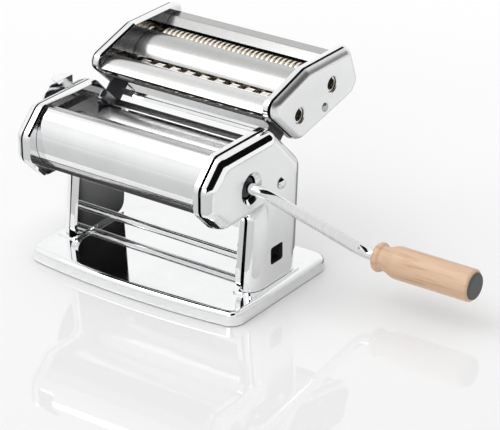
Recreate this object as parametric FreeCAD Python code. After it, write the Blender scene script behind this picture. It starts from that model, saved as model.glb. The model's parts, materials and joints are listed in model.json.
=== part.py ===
import FreeCAD, Part
import os
from math import acos, atan2, cos, hypot, pi, radians, sin, sqrt, tan

os.makedirs("parts", exist_ok=True)
V = FreeCAD.Vector

# base tray
base_overhang = 6.1
base_back = 62.0
base_front = 73.5
base_bow_radius = 700.0
base_corner = 12.0
base_top = 12.0
base_edge_round = 4.5
base_sheet = 1.2
foot_diameter = 14.0
foot_lift = 0.8
foot_inset = 18.0

# side panels, across the rollers
sheet = 1.2
bend = 1.5
plate_inside = 78.5
flange_width = 5.9
shadow_gap = 2.0
cover_depth = 10.0
cover_edge = 15.0
cover_under = 0.5
cover_steps = 6
cover_wall = 1.0
cover_margin = 0.6
housing_top = 140.0
housing_front = -88.0
rear_room = 13.82
nose_height = 60.5
nose_chamfer = 20.0
seat_run = 37.0
column_top_width = 63.0
column_foot_width = 65.0
column_back_lean = 6.5
panel_corner = 9.0
foot_plate = 1.4
foot_plate_margin = 0.9

# dough rollers
roller_diameter = 39.0
roller_side = 3.5
roller_wall = 4.0
hub_length = 9.0
drive_inset = 51.5
drive_drop = 35.0
pair_tilt = -13.7
gap_min = 0.3
gap_max = 2.3
running_clearance = 0.05
journal_diameter = 16.0
left_journal = 12.0
bush_wall = 2.5
bush_flange = 1.6
crank_opening = 19.0
dish_diameter = 26.0
dish_depth = 4.2

# roller gears
gear_teeth = 14
gear_width = 6.0
gear_side_gap = 1.0
gear_pressure = 20.0
gear_thinning = 1.0
gear_addendum = 2.5
gear_dedendum = 4.2

# eccentric shaft
shaft_diameter = 10.0
shaft_tip = 6.0
eccentric_diameter = 14.0
sleeve_wall = 3.0
neck_diameter = 24.0
neck_clearance = 2.2
shaft_cap_diameter = 9.5
shaft_cap_height = 2.6

# thickness dial
dial_turn = 120.0
dial_stations = 6
dial_disc = 73.0
dial_sheet = 1.6
dial_standoff = 6.6
dial_hub = 16.0
dial_pull = 4.0
dial_flat = 1.6
lever_back = 5.2
lever_front = 43.5
lever_top = 44.0
lever_corner = 12.0
tab_width = 19.0
tab_depth = 11.0
index_angle = 286.0
index_plate_diameter = 58.0
index_plate_sheet = 2.0
index_radius = 22.0
index_peg = 3.6
index_clearance = 0.4
spring_wire = 0.8
spring_turns = 3
spring_slack = 3.0

# sheets between the side panels
drum_radius = 26.5
drum_forward = 14.5
drum_rise = 7.8
drum_first = 115.0
drum_last = 248.0
drum_lip = 4.0
drum_skirt = 4.5
side_gap = 0.3
guard_drop = 9.0
guard_forward = 10.5
guard_length = 39.0
guard_side = 4.9
guard_sheet = 1.0
guard_clearance = 0.6
scraper_sheet = 1.0
scraper_gap = 2.0
ledge_drop = 23.0

# tie rods
tie_diameter = 7.0
tie_thread = 5.5
tie_inset = 35.0
tie_rise = 10.5
front_tie_forward = 19.0
front_tie_drop = 4.8
nut_flats = 11.0
nut_height = 4.5

# clamp socket
clamp_width = 16.0
clamp_height = 14.5
clamp_inset = 38.3
clamp_rise = 25.3
clamp_lip = 4.0
clamp_corner = 2.2

# crank and grip
rod_diameter = 9.0
socket_clearance = 0.1
socket_depth = 30.0
crank_throw = 100.4
crank_angle = -42.4
crank_stand = 9.6
crank_run = 44.0
crank_bend = 16.0
key_width = 3.0
key_reach = 6.2
key_length = 9.0
key_clearance = 0.15
grip_gap = 12.0
grip_length = 87.0
grip_body = 26.0
grip_neck = 19.5
grip_bead = 23.6
grip_bead_length = 6.4
grip_shoulder = 21.0
grip_end_round = 2.6
grip_plug = 15.0
grip_clearance = 0.06
cap_diameter = 21.6
cap_thickness = 1.8

# cutter head
cutter_setback = 0.5
cutter_rise = 9.5
cutter_height = 22.5
cutter_length = 121.0
cutter_nose = 6.4
cutter_nose_rise = 5.9
cutter_slope = 48.5
cutter_back_slope = 11.5
cutter_back_height = 30.0
cutter_heel = 8.5
cutter_heel_height = 40.5
cutter_keel = 37.0
cutter_keel_drop = 34.0
cutter_corner = 8.4
cutter_cover_depth = 4.8
cutter_edge = 7.0
cutter_edge_start = 40.0
cutter_sheet = 1.0
wide_inset = 36.0
wide_drop = 11.3
fine_run = 44.5
fine_rise = 11.0
pair_slope = -15.0
cutter_radius = 10.5
groove_depth = 2.5
ring_overlap = 0.8
fine_ring = 2.3
wide_ring = 7.3
ring_clearance = 0.12
cutter_side = 4.5
cutter_journal = 12.0
cutter_shaft = 7.0
cutter_bush_wall = 2.0
cutter_gear_teeth = 14
cutter_gear_width = 5.0
cutter_thinning = 0.36
cutter_opening = 12.5
cutter_socket_depth = 24.0
slot_reach = 2.8
brow_back = 16.0
brow_rise = 3.6
lower_sheet_back = 28.5
lower_sheet_drop = 28.0
crown_rise = 13.6
hood_front = 24.0
hood_back = 12.0
hood_drop = 7.5
hood_gap = 2.2
hood_heel = 8.0
hood_height = 37.5
comb_bar = 3.0
comb_turn = -25.0
cutter_tie = 5.0
cutter_rivet = 3.5
cutter_screw_run = 34.5
cutter_screw_drop = 4.7
screw_head = 7.4
screw_shank = 4.0

# rails that hold the cutter head
rail_width = 22.0
rail_overlap = 7.0
rail_sheet = 1.2
rail_clearance = 0.3
guide_sheet = 1.4
guide_edge = 2.5

# values that follow
plate_outside = plate_inside + sheet
flange_end = plate_inside + flange_width
cover_start = flange_end + shadow_gap
cover_face = cover_start + cover_depth
base_length = 2 * (cover_face + base_overhang)
dial_reach = cover_face + index_plate_sheet + dial_standoff
cutter_face = cover_start + cutter_cover_depth
roller_half = plate_inside - roller_side
cutter_half = plate_inside - cutter_side
guard_inside = plate_inside - guard_side
gear_start = plate_outside + gear_side_gap
gear_end = gear_start + gear_width
cutter_gear_end = gear_start + cutter_gear_width
socket_diameter = rod_diameter + 2 * socket_clearance
socket_end = cover_face - dish_depth - 0.6
cutter_socket_end = cutter_face - 1.6
drive_y = housing_front + drive_inset
drive_z = housing_top - drive_drop
pair_y = cos(radians(pair_tilt))
pair_z = sin(radians(pair_tilt))
roller_y = drive_y + (roller_diameter + gap_min) * pair_y
roller_z = drive_z + (roller_diameter + gap_min) * pair_z
gear_pitch = (roller_diameter + (gap_min + gap_max) / 2) / 2
eccentricity = (gap_max - gap_min) / 2 / sin(radians(dial_turn / 2))
closed = radians(90 - dial_turn / 2)
shaft_y = roller_y + eccentricity * (cos(closed) * pair_y + sin(closed) * pair_z)
shaft_z = roller_z + eccentricity * (cos(closed) * pair_z - sin(closed) * pair_y)
roller_bore = roller_diameter - 2 * roller_wall
housing_back = roller_y + roller_diameter / 2 + rear_room
housing_bottom = housing_top - nose_height
column_front_top = housing_back - column_top_width
column_back_foot = housing_back - column_back_lean
column_front_foot = column_back_foot - column_foot_width
seat_front = housing_back - seat_run
seat_sum = housing_top + seat_front
drum_y = drive_y - drum_forward
drum_z = drive_z + drum_rise
guard_top = housing_top - guard_drop
guard_front = drive_y - guard_forward
guard_back = guard_front + guard_length
rear_ledge = housing_top - ledge_drop
tie_y = housing_back - tie_inset
tie_z = base_top + tie_rise
front_tie_y = drum_y - front_tie_forward
front_tie_z = drum_z - front_tie_drop
clamp_y = housing_back - clamp_inset
clamp_z = base_top + clamp_rise
sleeve_diameter = eccentric_diameter + 2 * sleeve_wall
shaft_end = dial_reach + dial_pull + spring_slack
hub_end = cover_face + index_plate_sheet + 1.2
crank_straight = cover_face + crank_stand
crank_far = crank_straight + crank_run
grip_start = crank_far + grip_gap
grip_end = grip_start + grip_length
throw_y = cos(radians(crank_angle))
throw_z = sin(radians(crank_angle))
grip_y = drive_y + crank_throw * throw_y
grip_z = drive_z + crank_throw * throw_z
cutter_front_y = seat_front + cutter_setback
cutter_front_z = housing_top + cutter_rise
cutter_top = cutter_front_z + cutter_height
cutter_back = cutter_front_y + cutter_length
wide_y = cutter_front_y + wide_inset
wide_z = cutter_front_z - wide_drop
fine_y = wide_y + fine_run
fine_z = wide_z + fine_rise
cutter_screw_y = wide_y + cutter_screw_run
cutter_screw_z = wide_z - cutter_screw_drop
cutter_pitch = 2 * cutter_radius - ring_overlap
idle_y = cutter_pitch * cos(radians(pair_slope))
idle_z = cutter_pitch * sin(radians(pair_slope))
rail_outside = plate_inside - rail_clearance
rail_inside = rail_outside - rail_sheet
guide_outside = rail_inside - rail_clearance
guide_inside = guide_outside - guide_sheet
sheet_half = plate_inside - side_gap
tie_spots = [(tie_y, tie_z), (front_tie_y, front_tie_z)]
drive_spots = [(wide_y, wide_z), (fine_y, fine_z)]
idle_spots = [(y + idle_y, z + idle_z) for y, z in drive_spots]


def save(name, *shapes):
    whole = shapes[0] if len(shapes) == 1 else Part.makeCompound(list(shapes))
    whole.exportStep("parts/" + name + ".step")


def bar(diameter, y, z, x0, x1):
    return Part.makeCylinder(diameter / 2, x1 - x0, V(x0, y, z), V(1, 0, 0))


def ring(outer, inner, y, z, x0, x1):
    return bar(outer, y, z, x0, x1).cut(bar(inner, y, z, x0 - 1, x1 + 1))


def flat_bar(points, x0, x1):
    corners = [V(x0, y, z) for y, z in points]
    return Part.Face(Part.makePolygon(corners + corners[:1])).extrude(V(x1 - x0, 0, 0))


def mirrored(shape):
    return shape.mirror(V(0, 0, 0), V(1, 0, 0))


def inset(points, distance, under=0):
    # moves every side of an outline inwards and joins the sides again; sides that face down may move less
    count = len(points)
    area = sum(points[i - 1][0] * points[i][1] - points[i][0] * points[i - 1][1] for i in range(count))
    sides = []
    for i in range(count):
        a, b = points[i - 1], points[i]
        length = hypot(b[0] - a[0], b[1] - a[1]) * (1 if area > 0 else -1)
        n = ((a[1] - b[1]) / length, (b[0] - a[0]) / length)
        sides.append((n, distance * (1 - under * max(0, n[1]) ** 2)))
    moved = []
    for i in range(count):
        n, p = sides[i]
        m, q = sides[(i + 1) % count]
        c = n[0] * m[0] + n[1] * m[1]
        s = (p - q * c) / (1 - c * c)
        t = (q - p * c) / (1 - c * c)
        moved.append((points[i][0] + n[0] * s + m[0] * t, points[i][1] + n[1] * s + m[1] * t))
    return moved


def rounded(at, radius, is_closed):
    # a line through the points with every corner rounded
    count = len(at)
    edges = []
    first = last = None if is_closed else at[0]
    for i in range(count) if is_closed else range(1, count - 1):
        to_a = (at[i - 1] - at[i]).normalize()
        to_c = (at[(i + 1) % count] - at[i]).normalize()
        half = acos(max(-1, min(1, to_a.dot(to_c)))) / 2
        start = at[i] + to_a * (radius / tan(half))
        end = at[i] + to_c * (radius / tan(half))
        crown = at[i] + (to_a + to_c).normalize() * (radius / sin(half) - radius)
        if last is None:
            first = start
        else:
            edges.append(Part.makeLine(last, start))
        edges.append(Part.Arc(start, crown, end).toShape())
        last = end
    edges.append(Part.makeLine(last, first if is_closed else at[-1]))
    return Part.Wire(edges)


def outline(points, radius, x):
    return rounded([V(x, y, z) for y, z in points], radius, True)


def slab(points, radius, x0, x1):
    return Part.Face(outline(points, radius, x0)).extrude(V(x1 - x0, 0, 0))


def lofted(*sections):
    return Part.makeLoft([outline(*section) for section in sections], True, True)


def folded(points, radius, thickness, half):
    # a folded sheet that runs along the rollers
    wire = rounded([V(-half, y, z) for y, z in points], radius, False)
    return wire.extrude(V(2 * half, 0, 0)).makeOffsetShape(thickness, 0.001, fill=True)


def curved(points, thickness, half):
    # a sheet curved along an arc through three points
    arc = Part.Arc(*[V(-half, y, z) for y, z in points]).toShape()
    return arc.extrude(V(2 * half, 0, 0)).makeOffsetShape(thickness, 0.001, fill=True)


def flanged_bush(bore, wall, y, z, x0, x1, flange_x0, flange_x1):
    body = bar(bore + 2 * wall, y, z, x0, x1).fuse(bar(bore + 4 * wall, y, z, flange_x0, flange_x1))
    return body.cut(bar(bore + 2 * running_clearance, y, z, x0 - 1, x1 + 1)).removeSplitter()


def plate_bush(bore, wall, y, z):
    inner = plate_inside - bush_flange
    return flanged_bush(bore, wall, y, z, inner, plate_outside + gear_side_gap / 2, inner, plate_inside)


def key_block(width, reach, y, z, x0, x1, angle):
    block = Part.makeBox(x1 - x0, reach, width, V(x0, 0, -width / 2))
    block.rotate(V(0, 0, 0), V(1, 0, 0), angle)
    block.translate(V(0, y, z))
    return block


def involute_gear(teeth, pitch, tip, root, thinning, y, z, x0, x1, turn):
    # teeth with involute flanks; the first tooth points along the turn angle
    base = pitch * cos(radians(gear_pressure))
    low = max(root, base)
    half = pi / 2 / teeth - thinning / 2 / pitch + tan(radians(gear_pressure)) - radians(gear_pressure)
    radii = [low + (tip - low) * k / 4 for k in range(5)]
    rolls = [sqrt(max(0, (r / base) ** 2 - 1)) for r in radii]
    spread = [half - roll + atan2(roll, 1) for roll in rolls]
    step = 2 * pi / teeth
    edges = []

    def at(r, angle):
        return V(x0, y + r * cos(angle), z + r * sin(angle))

    for k in range(teeth):
        middle = radians(turn) + k * step
        rise = [at(r, middle - a) for r, a in zip(radii, spread)]
        fall = [at(r, middle + a) for r, a in zip(radii[::-1], spread[::-1])]
        heel = at(root, middle + spread[0])
        toe = at(root, middle + step - spread[0])
        edges.append(Part.makeLine(at(root, middle - spread[0]), rise[0]))
        edges.append(spline(rise))
        edges.append(Part.Arc(rise[-1], at(tip, middle), fall[0]).toShape())
        edges.append(spline(fall))
        edges.append(Part.makeLine(fall[-1], heel))
        edges.append(Part.Arc(heel, at(root, middle + step / 2), toe).toShape())
    return Part.Face(Part.Wire(edges)).extrude(V(x1 - x0, 0, 0))


def spline(points):
    curve = Part.BSplineCurve()
    curve.interpolate(points)
    return curve.toShape()


def panel_outline():
    lean = (column_front_top - column_front_foot) / (housing_bottom - base_top)
    foot = base_top + foot_plate
    return [(housing_front + nose_chamfer, housing_top), (housing_front, housing_top - nose_chamfer),
            (housing_front, housing_bottom + nose_chamfer), (housing_front + nose_chamfer, housing_bottom),
            (column_front_top, housing_bottom), (column_front_foot + lean * foot_plate, foot),
            (column_back_foot, foot), (housing_back, seat_sum - housing_back),
            (seat_sum - housing_top, housing_top)]


def cutter_outline():
    low = cutter_top - cutter_heel_height
    return [(cutter_front_y - cutter_nose, cutter_front_z + cutter_nose_rise),
            (cutter_front_y + cutter_slope, cutter_top), (cutter_back - cutter_back_slope, cutter_top),
            (cutter_back, cutter_top - cutter_back_height), (cutter_back - cutter_heel, low),
            (cutter_front_y + cutter_keel, cutter_front_z - cutter_keel_drop)]


def pressed_plate(points, corner):
    # inner plate: a flat web with its rim flanged outwards
    inner_corner = corner - sheet / 2
    outer = lofted((inset(points, bend), corner, plate_inside), (points, corner, plate_inside + bend),
                   (points, corner, flange_end))
    inner = lofted((inset(points, bend + sheet * 0.7), inner_corner, plate_outside),
                   (inset(points, sheet), inner_corner, plate_outside + bend * 0.7),
                   (inset(points, sheet), inner_corner, flange_end + 1))
    return outer.cut(inner)


def pan(points, corner, edge, x0, depth, first):
    # a solid pan whose edge rolls over into the face along an ellipse
    start = radians(first)
    sections = [(points, corner, x0 - 1), (points, corner, x0)]
    for k in range(1, cover_steps + 1):
        angle = start + (pi / 2 - start) * k / cover_steps
        share = 1 - cos(angle) / cos(start)
        x = x0 + depth * (sin(angle) - sin(start)) / (1 - sin(start))
        inner = inset(points, edge * share, cover_under)
        sections.append((inner, corner * (1 - share / 2), x))
    return lofted(*sections)


def pressed_cover(points, corner, edge, depth, first):
    # outer cover: a shallow pan with a broad rounded edge, open towards the plate
    rim = inset(points, cover_margin)
    outer = pan(rim, corner, edge, cover_start, depth, first)
    inner = pan(inset(rim, cover_wall), corner - cover_wall / 2, edge, cover_start, depth - cover_wall, first)
    width = 4 * cutter_back
    back = Part.makeBox(cover_start, width, width, V(0, -width / 2, -width / 2))
    return outer.cut([inner, back])


def base_outline(margin, z):
    half = base_length / 2 - margin
    back = base_back - margin
    radius = base_bow_radius - margin
    corner = base_corner - margin
    centre = base_bow_radius - base_front
    # the front corners lie inside the bow and inside the sides
    cx = half - corner
    cy = centre - sqrt((radius - corner) ** 2 - cx ** 2)
    tx = cx * radius / (radius - corner)
    ty = centre + (cy - centre) * radius / (radius - corner)
    middle = atan2(ty - cy, tx - cx) / 2
    mx = cx + corner * cos(middle)
    my = cy + corner * sin(middle)
    bx = cx + corner * sqrt(0.5)
    by = back - corner + corner * sqrt(0.5)

    def at(x, y):
        return V(x, y, z)

    edges = [Part.Arc(at(-tx, ty), at(0, centre - radius), at(tx, ty)).toShape(),
             Part.Arc(at(tx, ty), at(mx, my), at(half, cy)).toShape(),
             Part.makeLine(at(half, cy), at(half, back - corner)),
             Part.Arc(at(half, back - corner), at(bx, by), at(cx, back)).toShape(),
             Part.makeLine(at(cx, back), at(-cx, back)),
             Part.Arc(at(-cx, back), at(-bx, by), at(-half, back - corner)).toShape(),
             Part.makeLine(at(-half, back - corner), at(-half, cy)),
             Part.Arc(at(-half, cy), at(-mx, my), at(-tx, ty)).toShape()]
    return Part.Wire(edges)


def tray(margin, bottom):
    top = base_top - margin
    block = Part.Face(base_outline(margin, bottom)).extrude(V(0, 0, top - bottom))
    rim = [e for e in block.Edges if abs(e.BoundBox.ZMin - top) < 1e-6]
    return block.makeFillet(base_edge_round - margin, rim)


def base_screw_spots():
    x = (plate_outside + cover_face) / 2
    quarter = (column_back_foot - column_front_foot) / 4
    rows = (column_front_foot + quarter, column_back_foot - quarter)
    return [(side * x, y) for side in (-1, 1) for y in rows]


def build_base():
    body = tray(0, foot_lift).cut(tray(base_sheet, foot_lift - 1))
    x = base_length / 2 - foot_inset
    y = base_back - foot_inset
    under = base_top - base_sheet
    feet = [Part.makeCylinder(foot_diameter / 2, under, V(fx, fy, 0)) for fx in (-x, x) for fy in (-y, y)]
    screws = []
    for sx, sy in base_screw_spots():
        body = body.cut(Part.makeCylinder(screw_shank / 2, 2 * base_top, V(sx, sy, 0)))
        head = Part.makeCone(screw_head / 2 - 1, screw_head / 2, 2, V(sx, sy, under - 2))
        shank = Part.makeCylinder(screw_shank / 2, base_sheet + foot_plate, V(sx, sy, under))
        screws.append(head.fuse(shank))
    save("base_plate", body)
    save("base_feet", *feet)
    save("base_screws", *screws)


def build_foot_plates():
    y0 = column_front_foot - foot_plate_margin
    x0 = plate_inside - foot_plate_margin
    length = column_back_foot + foot_plate_margin - y0
    plate = Part.makeBox(cover_face + foot_plate_margin - x0, length, foot_plate, V(x0, y0, base_top))
    plate = plate.makeFillet(4.0, [e for e in plate.Edges if e.BoundBox.ZLength > foot_plate / 2])
    for x, y in base_screw_spots():
        plate = plate.cut(Part.makeCylinder(screw_shank / 2, 2 * base_top, V(x, y, 0)))
    save("foot_plates", plate, mirrored(plate))


def build_side_plates():
    blank = pressed_plate(panel_outline(), panel_corner)
    for y, z in tie_spots:
        blank = blank.cut(bar(tie_thread, y, z, 0, flange_end))
    right = blank.cut(bar(journal_diameter + 2 * bush_wall, drive_y, drive_z, 0, flange_end))
    right = right.cut(bar(shaft_diameter + 2 * bush_wall, shaft_y, shaft_z, 0, flange_end))
    left = blank.cut(bar(left_journal + 2 * bush_wall, drive_y, drive_z, 0, flange_end))
    left = left.cut(bar(neck_diameter + 2 * neck_clearance, shaft_y, shaft_z, 0, flange_end))
    save("side_plate_right", right)
    save("side_plate_left", mirrored(left))


def clamp_block(margin, x0, x1):
    y = clamp_width / 2 + margin
    z = clamp_height / 2 + margin
    signs = ((-1, -1), (1, -1), (1, 1), (-1, 1))
    return slab([(clamp_y + i * y, clamp_z + k * z) for i, k in signs], clamp_corner + margin, x0, x1)


def dish(margin, x0):
    small = dish_diameter / 2 - dish_depth + margin
    return Part.makeCone(small, small + dish_depth, dish_depth, V(x0, drive_y, drive_z), V(1, 0, 0))


def build_side_covers():
    floor = cover_face - dish_depth
    drop = [(y, z - cover_edge if z < tie_z else z) for y, z in panel_outline()]
    width = base_length
    foot = base_top + foot_plate + cover_margin / 2
    below = Part.makeBox(width, width, width, V(0, -width / 2, foot - width))
    blank = pressed_cover(drop, panel_corner, cover_edge, cover_depth, 0).cut(below)
    right = blank
    right = right.fuse(dish(cover_wall, floor - cover_wall)).cut(dish(0, floor))
    right = right.cut(bar(crank_opening, drive_y, drive_z, 0, cover_face + 1))
    right = right.cut(bar(shaft_tip + 1, shaft_y, shaft_z, 0, cover_face + 1))
    right = right.fuse(clamp_block(cover_wall, cover_face - clamp_lip, cover_face))
    right = right.cut(clamp_block(0, cover_face - clamp_lip - 1, cover_face + 1))
    left = blank.cut(bar(shaft_diameter + 2 * bush_wall, shaft_y, shaft_z, 0, cover_face + 1))
    save("side_cover_right", right.removeSplitter())
    save("side_cover_left", mirrored(left))


def build_drive_roller():
    y, z = drive_y, drive_z
    plug = roller_half - hub_length
    core = socket_end - socket_depth
    save("drive_roller", ring(roller_diameter, roller_bore, y, z, -roller_half, roller_half))
    right = bar(roller_bore, y, z, plug, roller_half).fuse(bar(journal_diameter + 5, y, z, core - 4, plug))
    right = right.fuse(bar(journal_diameter, y, z, roller_half, socket_end))
    right = right.cut(bar(socket_diameter, y, z, core, socket_end + 1))
    slot = key_block(key_width + 2 * key_clearance, key_reach + key_clearance, y, z,
                     socket_end - key_length - 2 * key_clearance, socket_end + 1, crank_angle)
    save("drive_journal_right", right.cut(slot).removeSplitter())
    left = bar(roller_bore, y, z, -roller_half, -plug).fuse(bar(left_journal, y, z, -gear_end, -roller_half))
    save("drive_journal_left", left.removeSplitter())
    teeth = involute_gear(gear_teeth, gear_pitch, gear_pitch + gear_addendum, gear_pitch - gear_dedendum,
                          gear_thinning, y, z, -gear_end, -gear_start, pair_tilt)
    save("drive_gear", teeth.cut(bar(left_journal, y, z, -gear_end - 1, 0)))
    save("drive_bush_right", plate_bush(journal_diameter, bush_wall, y, z))
    save("drive_bush_left", mirrored(plate_bush(left_journal, bush_wall, y, z)))


def build_adjust_roller():
    y, z = roller_y, roller_z
    plug = roller_half - hub_length
    bore = sleeve_diameter + 2 * running_clearance
    slip = eccentric_diameter + 2 * running_clearance
    save("adjust_roller", ring(roller_diameter, roller_bore, y, z, -roller_half, roller_half))
    neck = bar(roller_bore, y, z, -roller_half, -plug).fuse(bar(neck_diameter, y, z, -gear_end, -roller_half))
    neck = neck.cut(bar(bore, y, z, -gear_end - 1, 0)).removeSplitter()
    save("adjust_hubs", neck, ring(roller_bore, bore, y, z, plug, roller_half))
    teeth = involute_gear(gear_teeth, gear_pitch, gear_pitch + gear_addendum, gear_pitch - gear_dedendum,
                          gear_thinning, y, z, -gear_end, -gear_start, pair_tilt + 180 + 180 / gear_teeth)
    save("adjust_gear", teeth.cut(bar(neck_diameter, y, z, -gear_end - 1, 0)))
    save("roller_sleeve", ring(sleeve_diameter, slip, y, z, -gear_end, roller_half))


def build_eccentric_shaft():
    y, z = shaft_y, shaft_z
    body = bar(eccentric_diameter, roller_y, roller_z, -gear_end, roller_half)
    body = body.fuse(bar(shaft_diameter, y, z, roller_half, plate_outside + gear_side_gap))
    body = body.fuse(bar(shaft_tip, y, z, plate_outside, cover_face + 0.4))
    end = bar(shaft_diameter, y, z, -shaft_end, -gear_end)
    save("eccentric_shaft", body.fuse(end.cut(shaft_flat(0, shaft_end))).removeSplitter())
    reach = (shaft_cap_diameter ** 2 / 4 + shaft_cap_height ** 2) / 2 / shaft_cap_height
    dome = Part.makeSphere(reach, V(cover_face + 0.4 + shaft_cap_height - reach, y, z))
    save("shaft_cap", dome.common(bar(shaft_cap_diameter, y, z, cover_face + 0.4, cover_face + 9)))
    save("eccentric_bush_right", plate_bush(shaft_diameter, bush_wall, y, z))
    inner = cover_face - cover_wall
    bush = flanged_bush(shaft_diameter, bush_wall, y, z, inner - bush_flange,
                        cover_face + index_plate_sheet, inner - bush_flange, inner)
    save("eccentric_bush_left", mirrored(bush))


def shaft_flat(clearance, end):
    half = shaft_diameter / 2
    corner = V(-end, shaft_y - half, shaft_z + half - dial_flat + clearance)
    return Part.makeBox(end - hub_end, shaft_diameter, shaft_diameter, corner)


def on_dial(radius, angle):
    return shaft_y + radius * cos(radians(angle)), shaft_z + radius * sin(radians(angle))


def dial_lever(rear, face):
    # a broad arm with one round corner; part of its top edge is folded out as a thumb tab
    front = shaft_y - lever_front
    back = shaft_y - lever_back
    top = shaft_z + lever_top
    rim = shaft_y - dial_disc / 2
    arm = flat_bar([(rim, shaft_z), (front, top), (back, top), (back, shaft_z)], rear, face)
    crown = [e for e in arm.Edges if e.BoundBox.YMax < front + 0.1 and e.BoundBox.ZMin > top - 0.1]
    arm = arm.makeFillet(lever_corner, crown)
    corner = V(face - tab_depth, back - tab_width, top - dial_sheet)
    tab = Part.makeBox(tab_depth, tab_width, dial_sheet, corner)
    tips = [e for e in tab.Edges if e.BoundBox.ZLength > dial_sheet / 2 and e.BoundBox.XMax < rear]
    return arm.fuse(tab.makeFillet(tab_width * 0.48, tips))


def build_dial():
    y, z = shaft_y, shaft_z
    rear = -dial_reach
    face = rear + dial_sheet
    peg = bar(index_peg, *on_dial(index_radius, index_angle), rear, -cover_face - index_plate_sheet / 2)
    disc = bar(dial_disc, y, z, rear, face)
    hub = bar(dial_hub, y, z, rear, -hub_end)
    bore = bar(shaft_diameter + 2 * running_clearance, y, z, rear - 1, 0)
    bore = bore.cut(shaft_flat(running_clearance, dial_reach + 1))
    save("dial", disc.fuse([dial_lever(rear, face), hub, peg]).cut(bore).removeSplitter())
    cap = bar(dial_hub, y, z, -shaft_end - 2.5, -shaft_end)
    save("dial_cap", cap.makeFillet(1.2, [e for e in cap.Edges if e.BoundBox.XMax < -shaft_end - 2]))
    build_spring(-shaft_end, rear)
    build_index_plate()


def build_spring(x0, x1):
    # the wire follows the coil in short straight lengths
    radius = shaft_diameter / 2 + spring_wire
    steps = 10 * spring_turns
    at = []
    for k in range(steps + 1):
        x = x0 + spring_wire + (x1 - x0 - 2 * spring_wire) * k / steps
        angle = k * pi / 5
        at.append(V(x, shaft_y + radius * cos(angle), shaft_z + radius * sin(angle)))
    wire = Part.Wire(Part.makeCircle(spring_wire / 2, at[0], at[1] - at[0]))
    save("dial_spring", Part.makePolygon(at).makePipeShell([wire], True, False, 1))


def build_index_plate():
    y, z = shaft_y, shaft_z
    inner = -cover_face
    outer = inner - index_plate_sheet
    width = index_peg + 2 * index_clearance
    track = ring(2 * index_radius + width, 2 * index_radius - width, y, z, outer - 1, inner + 1)
    fan = [(y, z)] + [on_dial(4 * index_radius, index_angle - share * dial_turn) for share in (0, 0.5, 1)]
    track = track.common(flat_bar(fan, outer - 2, inner + 2))
    plate = ring(index_plate_diameter, shaft_diameter + 2 * bush_wall, y, z, outer, inner)
    for k in range(dial_stations):
        spot = on_dial(index_radius, index_angle - k * dial_turn / (dial_stations - 1))
        plate = plate.cut(bar(width + 1.2, *spot, outer - 1, inner + 1))
    save("index_plate", plate.cut(track))


def build_front_cover():
    def at(angle):
        return drum_y + drum_radius * cos(radians(angle)), drum_z + drum_radius * sin(radians(angle))

    top_y, top_z = at(drum_first)
    low_y, low_z = at(drum_last)
    drum = curved([at(drum_first), at((drum_first + drum_last) / 2), at(drum_last)], -sheet, sheet_half)
    width = 2 * sheet_half
    lip = Part.makeBox(width, drum_lip + sheet, sheet, V(-sheet_half, top_y - sheet / 3, top_z - sheet))
    skirt = Part.makeBox(width, sheet, drum_skirt + sheet / 2, V(-sheet_half, low_y, low_z - drum_skirt))
    save("front_cover", drum.fuse([lip, skirt]).removeSplitter())
    reach = roller_diameter / 2 + scraper_gap
    back = low_y + sheet
    tip = (drive_y - reach * sin(radians(35)), drive_z - reach * cos(radians(35)))
    bend_points = [(back, low_z - sheet / 2), (back, low_z - drum_skirt + sheet), tip]
    save("front_scraper", folded(bend_points, 1.5, scraper_sheet, sheet_half))


def build_rear_cover():
    back = housing_back - 2 * scraper_sheet
    edge = seat_sum - 2.2
    cover_points = [(back, housing_bottom + 4.5), (back, edge - back), (edge - rear_ledge, rear_ledge),
                    (shaft_y + 5.5, rear_ledge)]
    save("rear_cover", folded(cover_points, 2.0, scraper_sheet, guide_inside))
    face = back - scraper_sheet
    reach = roller_diameter / 2 + gap_max + scraper_gap
    tip = (shaft_y + reach * sin(radians(37)), shaft_z - reach * cos(radians(37)))
    scraper_points = [(face, housing_bottom + 9.0), (face, tip[1] + 3.0), tip]
    save("rear_scraper", folded(scraper_points, 1.5, -scraper_sheet, guide_inside))


def build_end_guards():
    low = drive_z + 3.0
    web = slab([(guard_front, low), (guard_back, low), (guard_back, guard_top), (guard_front, guard_top)],
               guard_sheet, guard_inside, guard_inside + guard_sheet)
    for y, z in ((drive_y, drive_z), (roller_y, roller_z)):
        web = web.cut(bar(roller_diameter + 2 * guard_clearance, y, z, 0, plate_inside))
    ledge = Part.makeBox(plate_inside - guard_inside, guard_back - guard_front - 2 * guard_sheet, guard_sheet,
                         V(guard_inside, guard_front + guard_sheet, guard_top - guard_sheet))
    guard = web.fuse(ledge).removeSplitter()
    save("end_guards", guard, mirrored(guard))


def build_tie_rods():
    rods = []
    nuts = []
    end = plate_outside + nut_height
    for y, z in tie_spots:
        rod = bar(tie_diameter, y, z, -plate_inside, plate_inside).fuse(bar(tie_thread, y, z, -end, end))
        rods.append(rod.removeSplitter())
        corner = nut_flats / sqrt(3)
        hexagon = [(y + corner * cos(k * pi / 3), z + corner * sin(k * pi / 3)) for k in range(6)]
        nut = flat_bar(hexagon, plate_outside, end).cut(bar(tie_thread, y, z, 0, end + 1))
        nuts += [nut, mirrored(nut)]
    save("tie_rods", *rods)
    save("tie_nuts", *nuts)


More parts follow.
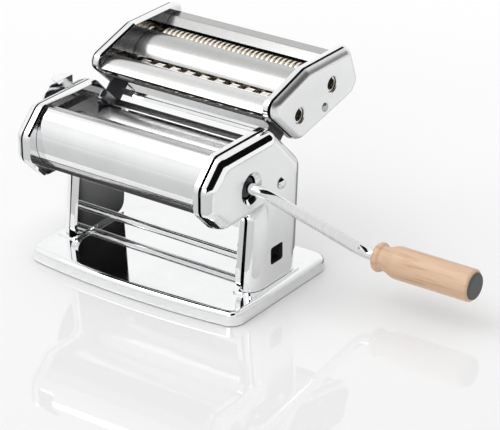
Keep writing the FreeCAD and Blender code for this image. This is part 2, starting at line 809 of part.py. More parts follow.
def build_crank():
    def at(x, reach):
        return V(x, drive_y + reach * throw_y, drive_z + reach * throw_z)

    start = socket_end - socket_depth + 1
    path = rounded([at(start, 0), at(crank_straight, 0), at(crank_far, crank_throw),
                    at(grip_end - grip_plug - 1, crank_throw)], crank_bend, False)
    circle = Part.Wire(Part.makeCircle(rod_diameter / 2, at(start, 0), V(1, 0, 0)))
    rod = path.makePipeShell([circle], True, True)
    key_start = socket_end - key_length
    key = key_block(key_width, key_reach, drive_y, drive_z, key_start, socket_end - 1, crank_angle)
    save("crank_rod", rod.fuse(key).removeSplitter())


def build_grip():
    def at(x, radius):
        return V(x, grip_y + radius * throw_y, grip_z + radius * throw_z)

    bore = rod_diameter / 2 + grip_clearance
    slim = grip_neck / 2
    full = grip_body / 2
    swell = full - slim
    bulge = grip_bead / 2
    floor = grip_end - grip_plug
    neck = grip_start + grip_bead_length
    run = grip_shoulder - grip_bead_length
    straight = grip_end - grip_end_round
    bead = [at(grip_start, bulge - 0.22 * bulge), at(grip_start + 0.45 * grip_bead_length, bulge)]
    bead.append(at(neck, slim + 0.15 * swell))
    shoulder = spline([bead[2], at(neck + 0.2 * run, slim), at(neck + 0.5 * run, slim + 0.4 * swell),
                       at(neck + 0.8 * run, slim + 0.9 * swell), at(neck + run, full)])
    rim = cap_diameter / 2
    tip = grip_end - 0.3 * grip_end_round
    end_arc = [at(straight, full), at(tip, 0.3 * rim + 0.7 * full), at(grip_end, rim)]
    hollow = [at(grip_end, 0), at(floor, 0), at(floor, bore), at(grip_start, bore)]
    edges = Part.makePolygon([end_arc[2]] + hollow + [bead[0]]).Edges
    edges += [Part.Arc(*bead).toShape(), shoulder, Part.makeLine(at(neck + run, full), end_arc[0])]
    edges.append(Part.Arc(*end_arc).toShape())
    save("wood_grip", Part.Face(Part.Wire(edges)).revolve(V(0, grip_y, grip_z), V(1, 0, 0), 360))
    cap = bar(cap_diameter, grip_y, grip_z, grip_end, grip_end + cap_thickness)
    rim = [e for e in cap.Edges if e.BoundBox.XMin > grip_end + cap_thickness / 2]
    save("grip_cap", cap.makeFillet(cap_thickness * 0.8, rim))


def cutter_tie_spots():
    middle_y = (wide_y + idle_y + fine_y) / 2
    middle_z = (wide_z + idle_z + fine_z) / 2 - 2.0
    front = (cutter_front_y + 15.5, cutter_front_z - 6.0)
    return [front, (cutter_back - 13.5, cutter_top - 14.0), (middle_y, middle_z)]


def build_cutter_panels():
    plate = pressed_plate(cutter_outline(), cutter_corner)
    for y, z in cutter_tie_spots():
        plate = plate.cut(bar(cutter_rivet, y, z, 0, flange_end))
    for y, z in idle_spots:
        plate = plate.cut(bar(cutter_shaft + 2 * cutter_bush_wall, y, z, 0, flange_end))
    plate = plate.cut(bar(screw_shank, cutter_screw_y, cutter_screw_z, 0, flange_end))
    cover = pressed_cover(cutter_outline(), cutter_corner, cutter_edge, cutter_cover_depth, cutter_edge_start)
    cover = cover.cut(bar(screw_shank, cutter_screw_y, cutter_screw_z, 0, cutter_face + 1))
    right, left, open_cover = plate, plate, cover
    small = cutter_opening / 2
    for y, z in drive_spots:
        right = right.cut(bar(cutter_journal + 2 * cutter_bush_wall, y, z, 0, flange_end))
        left = left.cut(bar(cutter_shaft + 2 * cutter_bush_wall, y, z, 0, flange_end))
        flare = Part.makeCone(small, small + 0.8, 0.8, V(cutter_face - 0.8, y, z), V(1, 0, 0))
        open_cover = open_cover.cut(bar(cutter_opening, y, z, 0, cutter_face + 1)).cut(flare)
    save("cutter_plate_right", right)
    save("cutter_plate_left", mirrored(left))
    save("cutter_cover_right", open_cover)
    save("cutter_cover_left", mirrored(cover))
    y, z = cutter_screw_y, cutter_screw_z
    dome = Part.makeSphere(screw_head * 0.7, V(cutter_face + 2.0 - screw_head * 0.7, y, z))
    head = dome.common(bar(screw_head, y, z, cutter_face, cutter_face + 9))
    screw = head.fuse(bar(screw_shank, y, z, plate_inside, cutter_face)).removeSplitter()
    save("cutter_screws", screw, mirrored(screw))


def ring_roller(y, z, width, offset):
    # a core with evenly spaced rings, turned as one profile
    core = z + cutter_radius - groove_depth
    top = z + cutter_radius
    half = (width - ring_clearance) / 2
    points = [V(-cutter_half, y, z), V(-cutter_half, y, core)]
    count = int(cutter_half / width)
    for k in range(-count, count + 1):
        x = offset + 2 * k * width
        if abs(x) + half < cutter_half:
            points += [V(x - half, y, core), V(x - half, y, top), V(x + half, y, top), V(x + half, y, core)]
    points += [V(cutter_half, y, core), V(cutter_half, y, z), points[0]]
    return Part.Face(Part.makePolygon(points)).revolve(V(0, y, z), V(1, 0, 0), 360)


def cutter_gear(name, y, z, turn):
    pitch = cutter_pitch / 2
    module = cutter_pitch / cutter_gear_teeth
    teeth = involute_gear(cutter_gear_teeth, pitch, pitch + module, pitch - 1.3 * module, cutter_thinning,
                          y, z, -cutter_gear_end, -gear_start, turn)
    save(name, teeth.cut(bar(cutter_shaft, y, z, -cutter_gear_end - 1, 0)))


def build_cutter_pair(name, width, y, z, comb_half):
    end = cutter_socket_end
    drive = ring_roller(y, z, width, 0).fuse(bar(cutter_journal, y, z, cutter_half, end))
    drive = drive.fuse(bar(cutter_shaft, y, z, -cutter_gear_end, -cutter_half))
    drive = drive.cut(bar(socket_diameter, y, z, end - cutter_socket_depth, end + 1))
    slot = key_block(key_width + 2 * key_clearance, cutter_journal, y, z, end - key_length, end + 1, 90)
    save(name + "_cutter_drive", drive.cut(slot))
    iy, iz = y + idle_y, z + idle_z
    idle = ring_roller(iy, iz, width, width).fuse(bar(cutter_shaft, iy, iz, -cutter_gear_end, -cutter_half))
    idle = idle.fuse(bar(cutter_shaft, iy, iz, cutter_half, plate_outside + gear_side_gap))
    save(name + "_cutter_idle", idle)
    cutter_gear(name + "_gear_drive", y, z, pair_slope)
    cutter_gear(name + "_gear_idle", iy, iz, pair_slope + 180 + 180 / cutter_gear_teeth)
    build_comb(name, width, y, z, comb_half)


def build_comb(name, width, y, z, half):
    # fingers stand in the grooves of the driven roller, on one bar
    front = y - comb_bar / 2
    low = z - cutter_radius - comb_bar
    thick = 0.6 * width
    count = int(cutter_half / width / 2)
    core = 2 * (cutter_radius - groove_depth)
    comb = Part.makeBox(2 * half, comb_bar, comb_bar - 1, V(-half, front, low))
    for k in range(-count, count):
        spot = V((2 * k + 1) * width - thick / 2, front, low)
        comb = comb.fuse(Part.makeBox(thick, comb_bar, comb_bar + groove_depth, spot))
    comb = comb.cut(bar(core + 1, y, z, -half, half))
    comb.rotate(V(0, y, z), V(1, 0, 0), comb_turn)
    save(name + "_comb", comb.removeSplitter())


def build_cutter_bushes():
    large = [plate_bush(cutter_journal, cutter_bush_wall, y, z) for y, z in drive_spots]
    small = [plate_bush(cutter_shaft, cutter_bush_wall, y, z) for y, z in idle_spots]
    left = [mirrored(plate_bush(cutter_shaft, cutter_bush_wall, y, z)) for y, z in drive_spots + idle_spots]
    save("cutter_bushes", *(large + small + left))


def build_cutter_sheets():
    reach = cutter_radius + slot_reach

    def beside(y, z, angle):
        return y + reach * cos(radians(angle)), z + reach * sin(radians(angle))

    front_y, front_z, back, top = cutter_front_y, cutter_front_z, cutter_back, cutter_top
    brow = [(front_y + 4.5, front_z - 2.0), (front_y + brow_back, front_z + brow_rise)]
    brow.append(beside(wide_y, wide_z, 122))
    save("cutter_front_cover", curved(brow, cutter_sheet, sheet_half))
    crown = ((wide_y + fine_y) / 2, (wide_z + fine_z) / 2 + crown_rise)
    middle = [beside(wide_y, wide_z, 41), crown, beside(fine_y, fine_z, 136)]
    save("cutter_middle_cover", curved(middle, cutter_sheet, sheet_half))
    rear = [beside(fine_y, fine_z, 49), (back - hood_front, top - hood_drop)]
    rear += [(back - hood_back, top - hood_drop), (back - hood_gap, top - cutter_back_height)]
    rear.append((back - hood_heel, top - hood_height))
    save("cutter_rear_cover", folded(rear, 3.0, -cutter_sheet, sheet_half))
    low_y = front_y + lower_sheet_back
    low_z = front_z - lower_sheet_drop
    lower = [(low_y - 2.6, low_z - 2.6), (low_y, low_z), (front_y + 6, front_z - 5.5)]
    save("cutter_lower_sheet", folded(lower, 1.6, cutter_sheet, rail_inside))
    rods = []
    end = plate_outside + 1
    for y, z in cutter_tie_spots():
        rod = bar(cutter_tie, y, z, -plate_inside, plate_inside).fuse(bar(cutter_rivet, y, z, -end, end))
        head = bar(cutter_tie + 1, y, z, plate_outside, end)
        rods.append(rod.fuse([head, mirrored(head)]).removeSplitter())
    save("cutter_tie_rods", *rods)


def seat_strip(a0, a1, n0, n1, x0, x1):
    # a strip by its reach along the sloping seat and away from it
    y = (seat_sum - housing_top + housing_back) / 2
    k = sqrt(0.5)
    corners = ((a0, n0), (a1, n0), (a1, n1), (a0, n1))
    return flat_bar([(y + (n - a) * k, seat_sum - y + (n + a) * k) for a, n in corners], x0, x1)


def build_rails():
    half = rail_width / 2
    bush = cutter_journal / 2 + 2 * cutter_bush_wall
    top = (wide_y + wide_z - seat_sum) * sqrt(0.5) - bush - 2 * rail_clearance
    rail = seat_strip(-half, half, -rail_overlap, top, rail_inside, rail_outside)
    rail = rail.fuse(seat_strip(-half, half, top - 5.5, top, rail_outside, plate_inside)).removeSplitter()
    save("cutter_rails", rail, mirrored(rail))
    floor = -rail_overlap - rail_clearance
    low = floor - guide_edge
    stop = -half - rail_clearance
    start = stop - guide_edge
    guide = seat_strip(start, half, low, -guide_edge, guide_inside, guide_outside)
    guide = guide.fuse(seat_strip(start, half, low, floor, guide_outside, plate_inside))
    guide = guide.fuse(seat_strip(start, stop, floor, -guide_edge, guide_outside, plate_inside))
    guide = guide.removeSplitter()
    save("cutter_guides", guide, mirrored(guide))


build_base()
build_foot_plates()
build_side_plates()
build_side_covers()
build_drive_roller()
build_adjust_roller()
build_eccentric_shaft()
build_dial()
build_front_cover()
build_rear_cover()
build_end_guards()
build_tie_rods()
build_crank()
build_grip()
build_cutter_panels()
build_cutter_pair("wide", wide_ring, wide_y, wide_z, rail_inside)
build_cutter_pair("fine", fine_ring, fine_y, fine_z, plate_inside)
build_cutter_bushes()
build_cutter_sheets()
build_rails()
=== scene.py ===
import bpy, bmesh, json, math
from mathutils import Matrix, Vector

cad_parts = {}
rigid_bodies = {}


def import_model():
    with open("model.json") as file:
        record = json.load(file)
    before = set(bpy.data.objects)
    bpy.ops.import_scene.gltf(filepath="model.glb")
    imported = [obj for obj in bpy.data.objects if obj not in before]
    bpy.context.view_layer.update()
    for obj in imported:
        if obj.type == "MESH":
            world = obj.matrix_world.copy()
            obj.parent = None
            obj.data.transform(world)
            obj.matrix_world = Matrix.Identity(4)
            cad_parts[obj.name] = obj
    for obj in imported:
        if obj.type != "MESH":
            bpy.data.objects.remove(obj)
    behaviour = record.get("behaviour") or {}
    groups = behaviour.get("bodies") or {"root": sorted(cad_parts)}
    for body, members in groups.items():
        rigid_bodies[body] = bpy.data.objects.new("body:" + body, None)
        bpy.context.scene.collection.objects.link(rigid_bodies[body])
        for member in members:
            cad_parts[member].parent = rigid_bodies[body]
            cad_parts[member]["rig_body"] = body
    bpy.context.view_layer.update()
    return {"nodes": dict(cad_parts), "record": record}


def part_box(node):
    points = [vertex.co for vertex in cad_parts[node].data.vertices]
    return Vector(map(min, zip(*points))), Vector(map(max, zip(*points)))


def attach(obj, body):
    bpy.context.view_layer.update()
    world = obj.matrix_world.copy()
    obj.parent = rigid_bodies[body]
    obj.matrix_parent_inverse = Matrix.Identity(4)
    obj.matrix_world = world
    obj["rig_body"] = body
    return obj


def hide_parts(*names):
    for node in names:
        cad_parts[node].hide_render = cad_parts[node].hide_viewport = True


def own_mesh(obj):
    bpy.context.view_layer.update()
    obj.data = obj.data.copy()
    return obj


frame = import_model()
nodes = frame["nodes"]
print("frame loaded:", len(nodes), "nodes")


def newFinish(name, **sockets):
    finish = bpy.data.materials.new(name)
    finish.use_nodes = True
    tree = finish.node_tree
    shader = tree.nodes["Principled BSDF"]
    for socket, value in sockets.items():
        shader.inputs[socket.replace("_", " ")].default_value = value
    return finish, tree, shader


def addNode(tree, kind, **settings):
    node = tree.nodes.new(kind)
    for key, value in settings.items():
        if hasattr(node, key):
            setattr(node, key, value)
        else:
            node.inputs[key.replace("_", " ")].default_value = value
    return node


def partsOf(tree, vector):
    split = addNode(tree, "ShaderNodeSeparateXYZ")
    tree.links.new(vector, split.inputs[0])
    return split.outputs


def objectAxis(tree, axis):
    place = addNode(tree, "ShaderNodeTexCoord")
    return partsOf(tree, place.outputs["Object"])[axis]


def grainOn(tree, scale, stretch=(1, 1, 1), detail=3.0, rough=0.5, turn=(0, 0, 0)):
    place = addNode(tree, "ShaderNodeTexCoord")
    mapping = addNode(tree, "ShaderNodeMapping", Scale=stretch, Rotation=turn)
    noise = addNode(tree, "ShaderNodeTexNoise", Scale=scale, Detail=detail, Roughness=rough)
    tree.links.new(place.outputs["Object"], mapping.inputs["Vector"])
    tree.links.new(mapping.outputs["Vector"], noise.inputs["Vector"])
    return noise.outputs["Fac"]


def spanOf(tree, source, low, high, start, end):
    span = addNode(tree, "ShaderNodeMapRange", From_Min=start, From_Max=end, To_Min=low, To_Max=high)
    tree.links.new(source, span.inputs["Value"])
    return span.outputs["Result"]


def spanTo(tree, source, low, high, socket, start=0.3, end=0.7):
    tree.links.new(spanOf(tree, source, low, high, start, end), socket)


def workOut(tree, operation, *parts):
    step = addNode(tree, "ShaderNodeMath", operation=operation)
    for socket, part in zip(step.inputs, parts):
        if isinstance(part, float):
            socket.default_value = part
        else:
            tree.links.new(part, socket)
    return step.outputs[0]


def blendTo(tree, source, stops, socket):
    ramp = addNode(tree, "ShaderNodeValToRGB")
    marks = ramp.color_ramp.elements
    marks[0].position, marks[0].color = stops[0][0], (*stops[0][1], 1)
    marks[1].position, marks[1].color = stops[-1][0], (*stops[-1][1], 1)
    for position, colour in stops[1:-1]:
        mark = marks.new(position)
        mark.color = (*colour, 1)
    tree.links.new(source, ramp.inputs["Fac"])
    tree.links.new(ramp.outputs["Color"], socket)


def bumpTo(tree, source, shader, strength, distance):
    bump = addNode(tree, "ShaderNodeBump", Strength=strength, Distance=distance)
    tree.links.new(source, bump.inputs["Height"])
    tree.links.new(bump.outputs["Normal"], shader.inputs["Normal"])


def mixToOutput(tree, factor, first, second):
    mixed = addNode(tree, "ShaderNodeMixShader")
    tree.links.new(factor, mixed.inputs["Fac"])
    tree.links.new(first.outputs[0], mixed.inputs[1])
    tree.links.new(second.outputs[0], mixed.inputs[2])
    tree.links.new(mixed.outputs[0], tree.nodes["Material Output"].inputs["Surface"])


platingLook = {"tone": (0.93, 0.935, 0.94), "handled": (0.88, 0.885, 0.89), "gloss": (0.03, 0.07),
               "smearScale": 38.0, "waveScale": 24.0, "ripple": 0.006, "depth": 0.002}


def platedBase(name):
    look = platingLook
    finish, tree, shader = newFinish(name, Metallic=1.0)
    smear = grainOn(tree, look["smearScale"], detail=4.0)
    blendTo(tree, smear, [(0.35, look["tone"]), (0.75, look["handled"])], shader.inputs["Base Color"])
    bumpTo(tree, grainOn(tree, look["waveScale"], detail=1.0), shader, look["ripple"], look["depth"])
    return finish, tree, shader, smear


def platedSheet(name):
    finish, tree, shader, smear = platedBase(name)
    spanTo(tree, smear, *platingLook["gloss"], shader.inputs["Roughness"])
    return finish


pressedLooks = {"coverPlating": {"face": 0.0964, "blend": 0.0012, "edgeGloss": 0.05, "faceGloss": 0.2},
                "cutterPlating": {"face": 0.0912, "blend": 0.0012, "edgeGloss": 0.36, "faceGloss": 0.26}}


def pressedSheet(name, look):
    finish, tree, shader = platedBase(name)[:3]
    outward = workOut(tree, "ABSOLUTE", objectAxis(tree, "X"))  # the pressed face has its own gloss
    spanTo(tree, outward, look["edgeGloss"], look["faceGloss"], shader.inputs["Roughness"],
           look["face"] - look["blend"], look["face"])
    return finish


latheLook = {"scale": 40.0, "stretch": (60, 0.6, 0.6), "depth": 0.0004}
steelLooks = {
    "turnedSteel": {"tone": (0.90, 0.905, 0.91), "ring": (0.83, 0.835, 0.84), "gloss": (0.08, 0.16), "ripple": 0.02},
    "machinedSteel": {"tone": (0.58, 0.59, 0.61), "ring": (0.46, 0.47, 0.49), "gloss": (0.22, 0.36), "ripple": 0.05},
    "cutterMetal": {"tone": (0.92, 0.87, 0.79), "ring": (0.82, 0.76, 0.67), "gloss": (0.2, 0.32), "ripple": 0.03},
    "browSteel": {"tone": (0.76, 0.76, 0.755), "ring": (0.68, 0.68, 0.675), "gloss": (0.16, 0.26), "ripple": 0.02},
    # below: a darker copy of the sheet steel, painted shade on the drum's low band and lip, the brow and the middle
    # cover
    "sheetSteel": {"tone": (0.57, 0.57, 0.565), "ring": (0.5, 0.5, 0.495), "gloss": (0.18, 0.28), "ripple": 0.02},
    "hoodSteel": {"tone": (0.5, 0.5, 0.495), "ring": (0.44, 0.44, 0.435), "gloss": (0.18, 0.28), "ripple": 0.02},
    "rollerSteel": {"tone": (0.80, 0.80, 0.80), "ring": (0.72, 0.72, 0.72), "gloss": (0.26, 0.36), "ripple": 0.02},
    # below: bare steel darkened to near black, painted shade for gaps, holes, insides and parts deep in the body
    "rawSteel": {"tone": (0.10, 0.10, 0.105), "ring": (0.07, 0.07, 0.075), "gloss": (0.45, 0.6), "ripple": 0.05}}


def turnedSteel(name, look):
    finish, tree, shader = newFinish(name, Metallic=1.0)
    lines = grainOn(tree, latheLook["scale"], latheLook["stretch"], 2.0)
    blendTo(tree, lines, [(0.3, look["tone"]), (0.7, look["ring"])], shader.inputs["Base Color"])
    spanTo(tree, lines, *look["gloss"], shader.inputs["Roughness"])
    bumpTo(tree, lines, shader, look["ripple"], latheLook["depth"])
    return finish


beechLook = {"bandScale": 26.0, "bandStretch": (0.16, 1, 1), "bandDetail": 6.0, "bandRough": 0.62,
             "bandTurn": (0, 0, 0.06), "fleckScale": 300.0, "fleckStretch": (0.09, 1, 1),
             "bands": [(0.3, (0.63, 0.42, 0.275)), (0.48, (0.72, 0.5, 0.345)), (0.7, (0.78, 0.565, 0.4))],
             "flecks": [(0.32, (0.84, 0.78, 0.73)), (0.45, (0.99, 0.985, 0.98)), (0.62, (1, 1, 1))],
             "gloss": (0.36, 0.5), "pores": 0.2, "depth": 0.0003}


def beechWood(name):
    look = beechLook
    finish, tree, shader = newFinish(name, IOR=1.45)
    mixed = addNode(tree, "ShaderNodeMix", data_type="RGBA", blend_type="MULTIPLY", Factor=1.0)
    tree.links.new(mixed.outputs["Result"], shader.inputs["Base Color"])
    band = grainOn(tree, look["bandScale"], look["bandStretch"], look["bandDetail"], look["bandRough"],
                   look["bandTurn"])
    fleck = grainOn(tree, look["fleckScale"], look["fleckStretch"])
    blendTo(tree, band, look["bands"], mixed.inputs["A"])
    blendTo(tree, fleck, look["flecks"], mixed.inputs["B"])
    spanTo(tree, band, *look["gloss"], shader.inputs["Roughness"])
    bumpTo(tree, fleck, shader, look["pores"], look["depth"])
    return finish


mouldLook = {"scale": 900.0, "lift": 1.25, "grain": 0.15, "depth": 0.0002}
mouldingLooks = {"capPlastic": {"tone": (0.075, 0.075, 0.08), "gloss": (0.45, 0.6)},
                 "bushPlastic": {"tone": (0.02, 0.02, 0.022), "gloss": (0.4, 0.55)},
                 "footRubber": {"tone": (0.012, 0.012, 0.012), "gloss": (0.6, 0.75)}}


def darkMoulding(name, look):
    finish, tree, shader = newFinish(name, IOR=1.46)
    speck = grainOn(tree, mouldLook["scale"], detail=2.0)
    paler = tuple(mouldLook["lift"] * part for part in look["tone"])
    blendTo(tree, speck, [(0.3, look["tone"]), (0.7, paler)], shader.inputs["Base Color"])
    spanTo(tree, speck, *look["gloss"], shader.inputs["Roughness"])
    bumpTo(tree, speck, shader, mouldLook["grain"], mouldLook["depth"])
    return finish


finishes = {"platedSheet": platedSheet("platedSheet"), "beechWood": beechWood("beechWood")}
for make, looks in ((pressedSheet, pressedLooks), (turnedSteel, steelLooks), (darkMoulding, mouldingLooks)):
    for name, look in looks.items():
        finishes[name] = make(name, look)
print("finishes made")


slotOf = {row["node"]: row["material_slot"] for row in frame["record"]["subparts"]}
slotFinish = {"chrome": "platedSheet", "polished_steel": "turnedSteel", "steel": "machinedSteel",
              "cutter_metal": "cutterMetal", "bush_plastic": "bushPlastic", "wood": "beechWood",
              "dark_cap": "capPlastic", "rubber": "footRubber"}
ownFinish = {"side_cover_left": "coverPlating", "side_cover_right": "coverPlating",
             "cutter_cover_left": "cutterPlating", "cutter_cover_right": "cutterPlating",
             "cutter_front_cover": "browSteel", "cutter_middle_cover": "sheetSteel",
             "cutter_rear_cover": "hoodSteel", "rear_cover": "browSteel", "end_guards": "browSteel",
             "drive_roller": "rollerSteel", "adjust_roller": "rollerSteel"}
# scrapers, journal, index plate, tie rods and rails take the near-black steel: painted shade deep in the body and in
# the crank hole
for node in ("front_scraper", "rear_scraper", "drive_journal_right", "index_plate", "cutter_tie_rods",
             "cutter_rails"):
    ownFinish[node] = "rawSteel"

edgeOf = {"foot_plates": 0.0004, "dial": 0.0003}  # bevel widths
for part, width in (("side_plate", 0.0004), ("side_cover", 0.0006),
                    ("cutter_plate", 0.0004), ("cutter_cover", 0.0005)):
    edgeOf[part + "_left"] = edgeOf[part + "_right"] = width

# faces darkened to near black as painted shade, bare inside faces among them (bareAndShadeOf), faces given a lighter
# painted shade (shadeOf), and cuts (axis, place) where a finish ends
bareAndShadeOf, shadeOf, cutsOf = {}, {}, {}

# the covers' insides, the plates' faces behind the covers and the clamp socket get painted shade, so the gaps beside
# the covers and the holes read black
sideZone = {"coverTilt": 0.02, "plateTilt": 0.3, "plateSkin": 0.0004,
            "socket": ((0.07, -0.0145, 0.0276), (0.0958, 0.0079, 0.047))}
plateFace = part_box("side_plate_right")[1][0] - sideZone["plateSkin"]
socketLow, socketHigh = [Vector(corner) for corner in sideZone["socket"]]


def inSocket(spot):
    return all(low < value < high for low, value, high in zip(socketLow, spot, socketHigh))


for part in ("side", "cutter"):
    bareAndShadeOf[part + "_cover_right"] = lambda n, c: n.x < -sideZone["coverTilt"] or inSocket(c)
    bareAndShadeOf[part + "_cover_left"] = lambda n, c: n.x > sideZone["coverTilt"]
    bareAndShadeOf[part + "_plate_right"] = lambda n, c: n.x > sideZone["plateTilt"] and c.x < plateFace or inSocket(c)
    bareAndShadeOf[part + "_plate_left"] = lambda n, c: n.x < -sideZone["plateTilt"] and c.x > -plateFace

# the cutter covers' undersides, the brow's front and a strip at the top of the lower sheet get painted shade: a
# black line under the brow
headZone = {"underside": -0.2, "browDeepShade": 0.55, "browShade": 0.74, "lip": 0.0035}
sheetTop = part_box("cutter_lower_sheet")[1][2] - headZone["lip"]
for sheet in ("cutter_middle_cover", "cutter_rear_cover"):
    bareAndShadeOf[sheet] = lambda n, c: n.z < headZone["underside"]
bareAndShadeOf["cutter_front_cover"] = lambda n, c: n.z < headZone["browDeepShade"]
shadeOf["cutter_front_cover"] = lambda n, c: n.z < headZone["browShade"]
bareAndShadeOf["cutter_lower_sheet"] = lambda n, c: c.z > sheetTop
cutsOf["cutter_lower_sheet"] = [(2, sheetTop)]

# the rear cover's upward faces behind the split get painted shade, a dark band under the cutter head
ledgeZone = {"split": 0.0055, "tilt": 0.9}
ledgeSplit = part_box("rear_cover")[0][1] + ledgeZone["split"]
bareAndShadeOf["rear_cover"] = lambda n, c: n.z > ledgeZone["tilt"] and c.y > ledgeSplit
cutsOf["rear_cover"] = [(1, ledgeSplit)]

# the drum's inward faces are bare; its outside gets near-black painted shade at the foot and in a thin line above,
# and a lighter painted shade below drumLow and on the top lip
drumZone = {"axis": (0, -0.051, 0.1128), "inward": -0.0005, "rises": (0.0088, 0.0148, 0.0156),
            "lip": 0.0012, "lipTilt": 0.85}
drumAxis = Vector(drumZone["axis"])
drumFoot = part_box("front_cover")[0][2]
drumDark, drumLow, drumLine = [drumFoot + rise for rise in drumZone["rises"]]
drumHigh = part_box("front_cover")[1][2] - drumZone["lip"]


def drumBareAndShade(normal, spot):
    inward = normal.dot(spot - drumAxis - Vector((spot.x, 0, 0))) < drumZone["inward"]
    return inward and spot.z < drumHigh or spot.z < drumDark or drumLow < spot.z < drumLine


bareAndShadeOf["front_cover"] = drumBareAndShade
shadeOf["front_cover"] = lambda n, c: c.z < drumLow or c.z > drumHigh and n.z > drumZone["lipTilt"]
cutsOf["front_cover"] = [(2, drumDark), (2, drumLow), (2, drumLine)]

skinLook = {"weld": 2e-6, "flat": math.radians(0.6), "cut": 1e-7, "sharp": math.radians(32.0), "steps": 2}


def softened(node, edge):
    mesh = nodes[node].data.copy()
    mesh.name = node + "Skin"
    mesh.materials.clear()
    mesh.materials.append(finishes[ownFinish.get(node, slotFinish[slotOf[node]])])
    if node in bareAndShadeOf or node in shadeOf:
        mesh.materials.append(finishes["rawSteel"])
    if node in shadeOf:
        mesh.materials.append(finishes["sheetSteel"])
    bm = bmesh.new()
    bm.from_mesh(mesh)
    bmesh.ops.remove_doubles(bm, verts=bm.verts[:], dist=skinLook["weld"])
    bmesh.ops.dissolve_limit(bm, angle_limit=skinLook["flat"], verts=bm.verts[:], edges=bm.edges[:])
    for axis, place in cutsOf.get(node, []):
        flat = Vector([float(i == axis) for i in range(3)])
        bmesh.ops.bisect_plane(bm, geom=bm.verts[:] + bm.edges[:] + bm.faces[:], dist=skinLook["cut"],
                               plane_co=flat * place, plane_no=flat)
    if edge:
        crisp = [e for e in bm.edges if e.is_manifold and e.calc_face_angle(0) > skinLook["sharp"]]
        bmesh.ops.bevel(bm, geom=crisp, offset=edge, offset_type="OFFSET", affect="EDGES",
                        segments=skinLook["steps"], profile=0.5, material=-1, clamp_overlap=True)
    for face in bm.faces:
        spot = face.calc_center_median()
        face.material_index = 0
        for index, rules in ((2, shadeOf), (1, bareAndShadeOf)):  # near-black painted shade wins over the lighter painted shade
            if node in rules and rules[node](face.normal, spot):
                face.material_index = index
    bm.to_mesh(mesh)
    bm.free()
    mesh.shade_smooth()
    mesh.set_sharp_from_angle(angle=skinLook["sharp"])
    skin = bpy.data.objects.new(node + "Skin", mesh)
    bpy.context.scene.collection.objects.link(skin)
    evenOut = skin.modifiers.new("evenShading", "WEIGHTED_NORMAL")
    evenOut.keep_sharp = True
    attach(skin, nodes[node]["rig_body"])
    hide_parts(node)
    return skin


for node in nodes:
    skin = softened(node, edgeOf.get(node, 0.0))
    if node == "dial_spring":  # closes up as the dial is pulled out
        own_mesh(skin)
print("pieces dressed")


def makeSheet(name, size, matrix):
    bm = bmesh.new()
    bmesh.ops.create_grid(bm, x_segments=1, y_segments=1, size=size)
    bmesh.ops.transform(bm, verts=bm.verts, matrix=matrix)
    mesh = bpy.data.meshes.new(name)
    bm.to_mesh(mesh)
    bm.free()
    sheet = bpy.data.objects.new(name, mesh)
    bpy.context.scene.collection.objects.link(sheet)
    return sheet


tableLook = {"size": 8.0, "tone": 0.86, "rough": 0.5, "ior": 1.45, "seenTone": 0.4, "seenRough": 0.0,
             "glow": (0.44, 0.6), "glowReach": (-0.4, 0.9), "shade": 0.06}


def makeTable():
    look = tableLook
    table = makeSheet("table", look["size"] / 2, Matrix.Identity(4))
    finish, tree, shader = newFinish("tableTop", Roughness=look["rough"], IOR=look["ior"])
    shader.inputs["Base Color"].default_value = (*[look["tone"]] * 3, 1)
    seenTop = addNode(tree, "ShaderNodeBsdfPrincipled", Roughness=look["seenRough"], IOR=look["ior"])
    seenTop.inputs["Base Color"].default_value = (*[look["seenTone"]] * 3, 1)
    bright = addNode(tree, "ShaderNodeEmission")
    shade = addNode(tree, "ShaderNodeAmbientOcclusion", Distance=look["shade"])  # soft contact shadow
    along = spanOf(tree, objectAxis(tree, "Y"), *look["glow"], *look["glowReach"])
    tree.links.new(workOut(tree, "MULTIPLY", shade.outputs["AO"], along), bright.inputs["Strength"])
    both = addNode(tree, "ShaderNodeAddShader")
    path = addNode(tree, "ShaderNodeLightPath")
    tree.links.new(seenTop.outputs[0], both.inputs[0])
    tree.links.new(bright.outputs[0], both.inputs[1])
    mixToOutput(tree, path.outputs["Is Camera Ray"], shader, both)
    table.data.materials.append(finish)


skyLook = {"stops": [(0.0, 1.0), (0.2, 1.0), (0.3, 0.9), (0.42, 1.0), (0.82, 1.0), (0.99, 0.8)], "fill": 0.55}


def makeSky():
    world = bpy.data.worlds.new("studio")
    bpy.context.scene.world = world
    world.use_nodes = True
    tree = world.node_tree
    place = addNode(tree, "ShaderNodeTexCoord")
    path = addNode(tree, "ShaderNodeLightPath")
    tent = addNode(tree, "ShaderNodeMix", data_type="RGBA")
    back = tree.nodes["Background"]
    parts = partsOf(tree, place.outputs["Generated"])
    height = workOut(tree, "ABSOLUTE", parts["Z"])  # the same below the horizon as above it
    bearing = workOut(tree, "DIVIDE", workOut(tree, "ARCTAN2", height, parts["Y"]), math.pi)
    blendTo(tree, bearing, [(at, (grey, grey, grey)) for at, grey in skyLook["stops"]], tent.inputs["A"])
    tent.inputs["B"].default_value = (1, 1, 1, 1)
    tree.links.new(path.outputs["Is Camera Ray"], tent.inputs["Factor"])
    tree.links.new(tent.outputs["Result"], back.inputs["Color"])
    seen = workOut(tree, "MAXIMUM", path.outputs["Is Camera Ray"], path.outputs["Is Glossy Ray"])
    through = workOut(tree, "MAXIMUM", seen, path.outputs["Is Transmission Ray"])
    spanTo(tree, through, skyLook["fill"], 1.0, back.inputs["Strength"], 0.0, 1.0)


lampLooks = {"topBox": {"spot": (-0.5, -0.6, 1.5), "aim": (0, 0, 0.1), "size": (1.2, 1.2), "power": 14.0},
             "frontBox": {"spot": (0.6, -1.5, 0.9), "aim": (0, 0, 0.1), "size": (0.9, 0.6), "power": 6.0}}


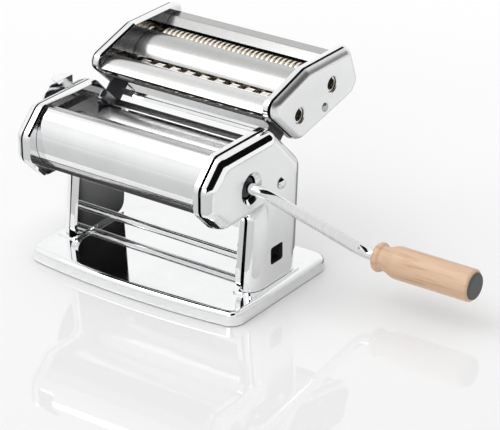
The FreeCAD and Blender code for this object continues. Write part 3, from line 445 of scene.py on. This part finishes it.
def makeLamp(name, spot, aim, size, power):
    light = bpy.data.lights.new(name, "AREA")
    light.shape = "RECTANGLE"
    light.size, light.size_y = size
    light.energy = power
    lamp = bpy.data.objects.new(name, light)
    lamp.location = spot
    lamp.rotation_euler = (Vector(aim) - Vector(spot)).to_track_quat("-Z", "Y").to_euler()
    bpy.context.scene.collection.objects.link(lamp)


# cards that only reflections show, so they paint reflections: underBody is a dark sheet standing in for the shade
# under the body, nearFlag and farFlag paint shadow on the table behind, frontFloor grows darker towards the machine,
# and gripShade paints a grey reflection in place of the grip; glow is their tone, and fade is (axis, start, end,
# tone at the start)
left, up, down = (-1, 0, 0), (0, 0, 1), (0, 0, -1)
cardLooks = {
    "sideFlag": {"spot": (0.45, 0.075, 0.65), "facing": left, "size": (1.65, 0.8), "glow": 0.004},
    "softPatch": {"spot": (0.448, 0.68, 0.36), "facing": left, "size": (0.16, 0.2), "glow": 0.008,
                  "fade": ("Z", 0.345, 0.42, 0.15)},
    "nearFlag": {"spot": (0.01, 0.13, 0.001), "facing": up, "size": (0.22, 0.13), "glow": 0.25},
    "farFlag": {"spot": (0.03, 0.33, 0.001), "facing": up, "size": (0.22, 0.27), "glow": 0.3},
    "underBody": {"spot": (0, -0.012, 0.083), "facing": down, "size": (0.15, 0.09), "glow": 0.02},
    "gripShade": {"spot": (0.15, 0.05, 0.062), "facing": left, "size": (0.26, 0.12), "glow": 0.8,
                  "fade": ("Z", 0.0, 0.045, 0.58)},
    "rightFloor": {"spot": (0.65, 0.5, 0.001), "facing": up, "size": (0.92, 0.94), "glow": 0.88},
    "frontFloor": {"spot": (0, -2.13, 0.001), "facing": up, "size": (4.0, 4.0), "glow": 0.62,
                   "fade": ("Y", -0.9, -0.13, 0.8)}}


def makeCard(name, spot, facing, size, glow, fade=None):
    turn = Vector(facing).to_track_quat("Z", "Y").to_matrix().to_4x4()
    card = makeSheet(name, 0.5, Matrix.Translation(spot) @ turn @ Matrix.Diagonal((*size, 1, 1)))
    finish, tree, shader = newFinish(name, Roughness=1.0, Specular_IOR_Level=0.0, Base_Color=(0, 0, 0, 1),
                                     Emission_Color=(1, 1, 1, 1), Emission_Strength=glow)
    if fade:
        axis, start, end, low = fade
        spanTo(tree, objectAxis(tree, axis), low, glow, shader.inputs["Emission Strength"], start, end)
    hit = addNode(tree, "ShaderNodeNewGeometry")
    path = addNode(tree, "ShaderNodeLightPath")  # only the floor is a sharp mirror, so only its rays are singular
    hidden = workOut(tree, "MAXIMUM", path.outputs["Is Singular Ray"], hit.outputs["Backfacing"])
    mixToOutput(tree, hidden, shader, addNode(tree, "ShaderNodeBsdfTransparent"))
    card.data.materials.append(finish)
    card.visible_camera = card.visible_diffuse = card.visible_shadow = card.visible_transmission = False


cameraSet = {"spot": (1.023448, -1.339055, 0.855005), "azimuth": 35.49, "elevation": 25.77, "lens": 169.488,
             "sensor": 36.0}


def makeCamera():
    turn, rise = math.radians(cameraSet["azimuth"]), math.radians(cameraSet["elevation"])
    back = Vector((math.sin(turn) * math.cos(rise), -math.cos(turn) * math.cos(rise), math.sin(rise)))
    right = Vector((math.cos(turn), math.sin(turn), 0))
    axes = Matrix((right, back.cross(right), back)).transposed()
    data = bpy.data.cameras.new("camera")
    data.lens = cameraSet["lens"]
    data.sensor_width = cameraSet["sensor"]
    camera = bpy.data.objects.new("camera", data)
    camera.matrix_world = Matrix.Translation(cameraSet["spot"]) @ axes.to_4x4()
    bpy.context.scene.collection.objects.link(camera)
    bpy.context.scene.camera = camera


makeTable()
makeSky()
for name, look in lampLooks.items():
    makeLamp(name, **look)
for name, look in cardLooks.items():
    makeCard(name, **look)
makeCamera()
bpy.context.scene.view_settings.view_transform = "Standard"
print("table, light and camera set")
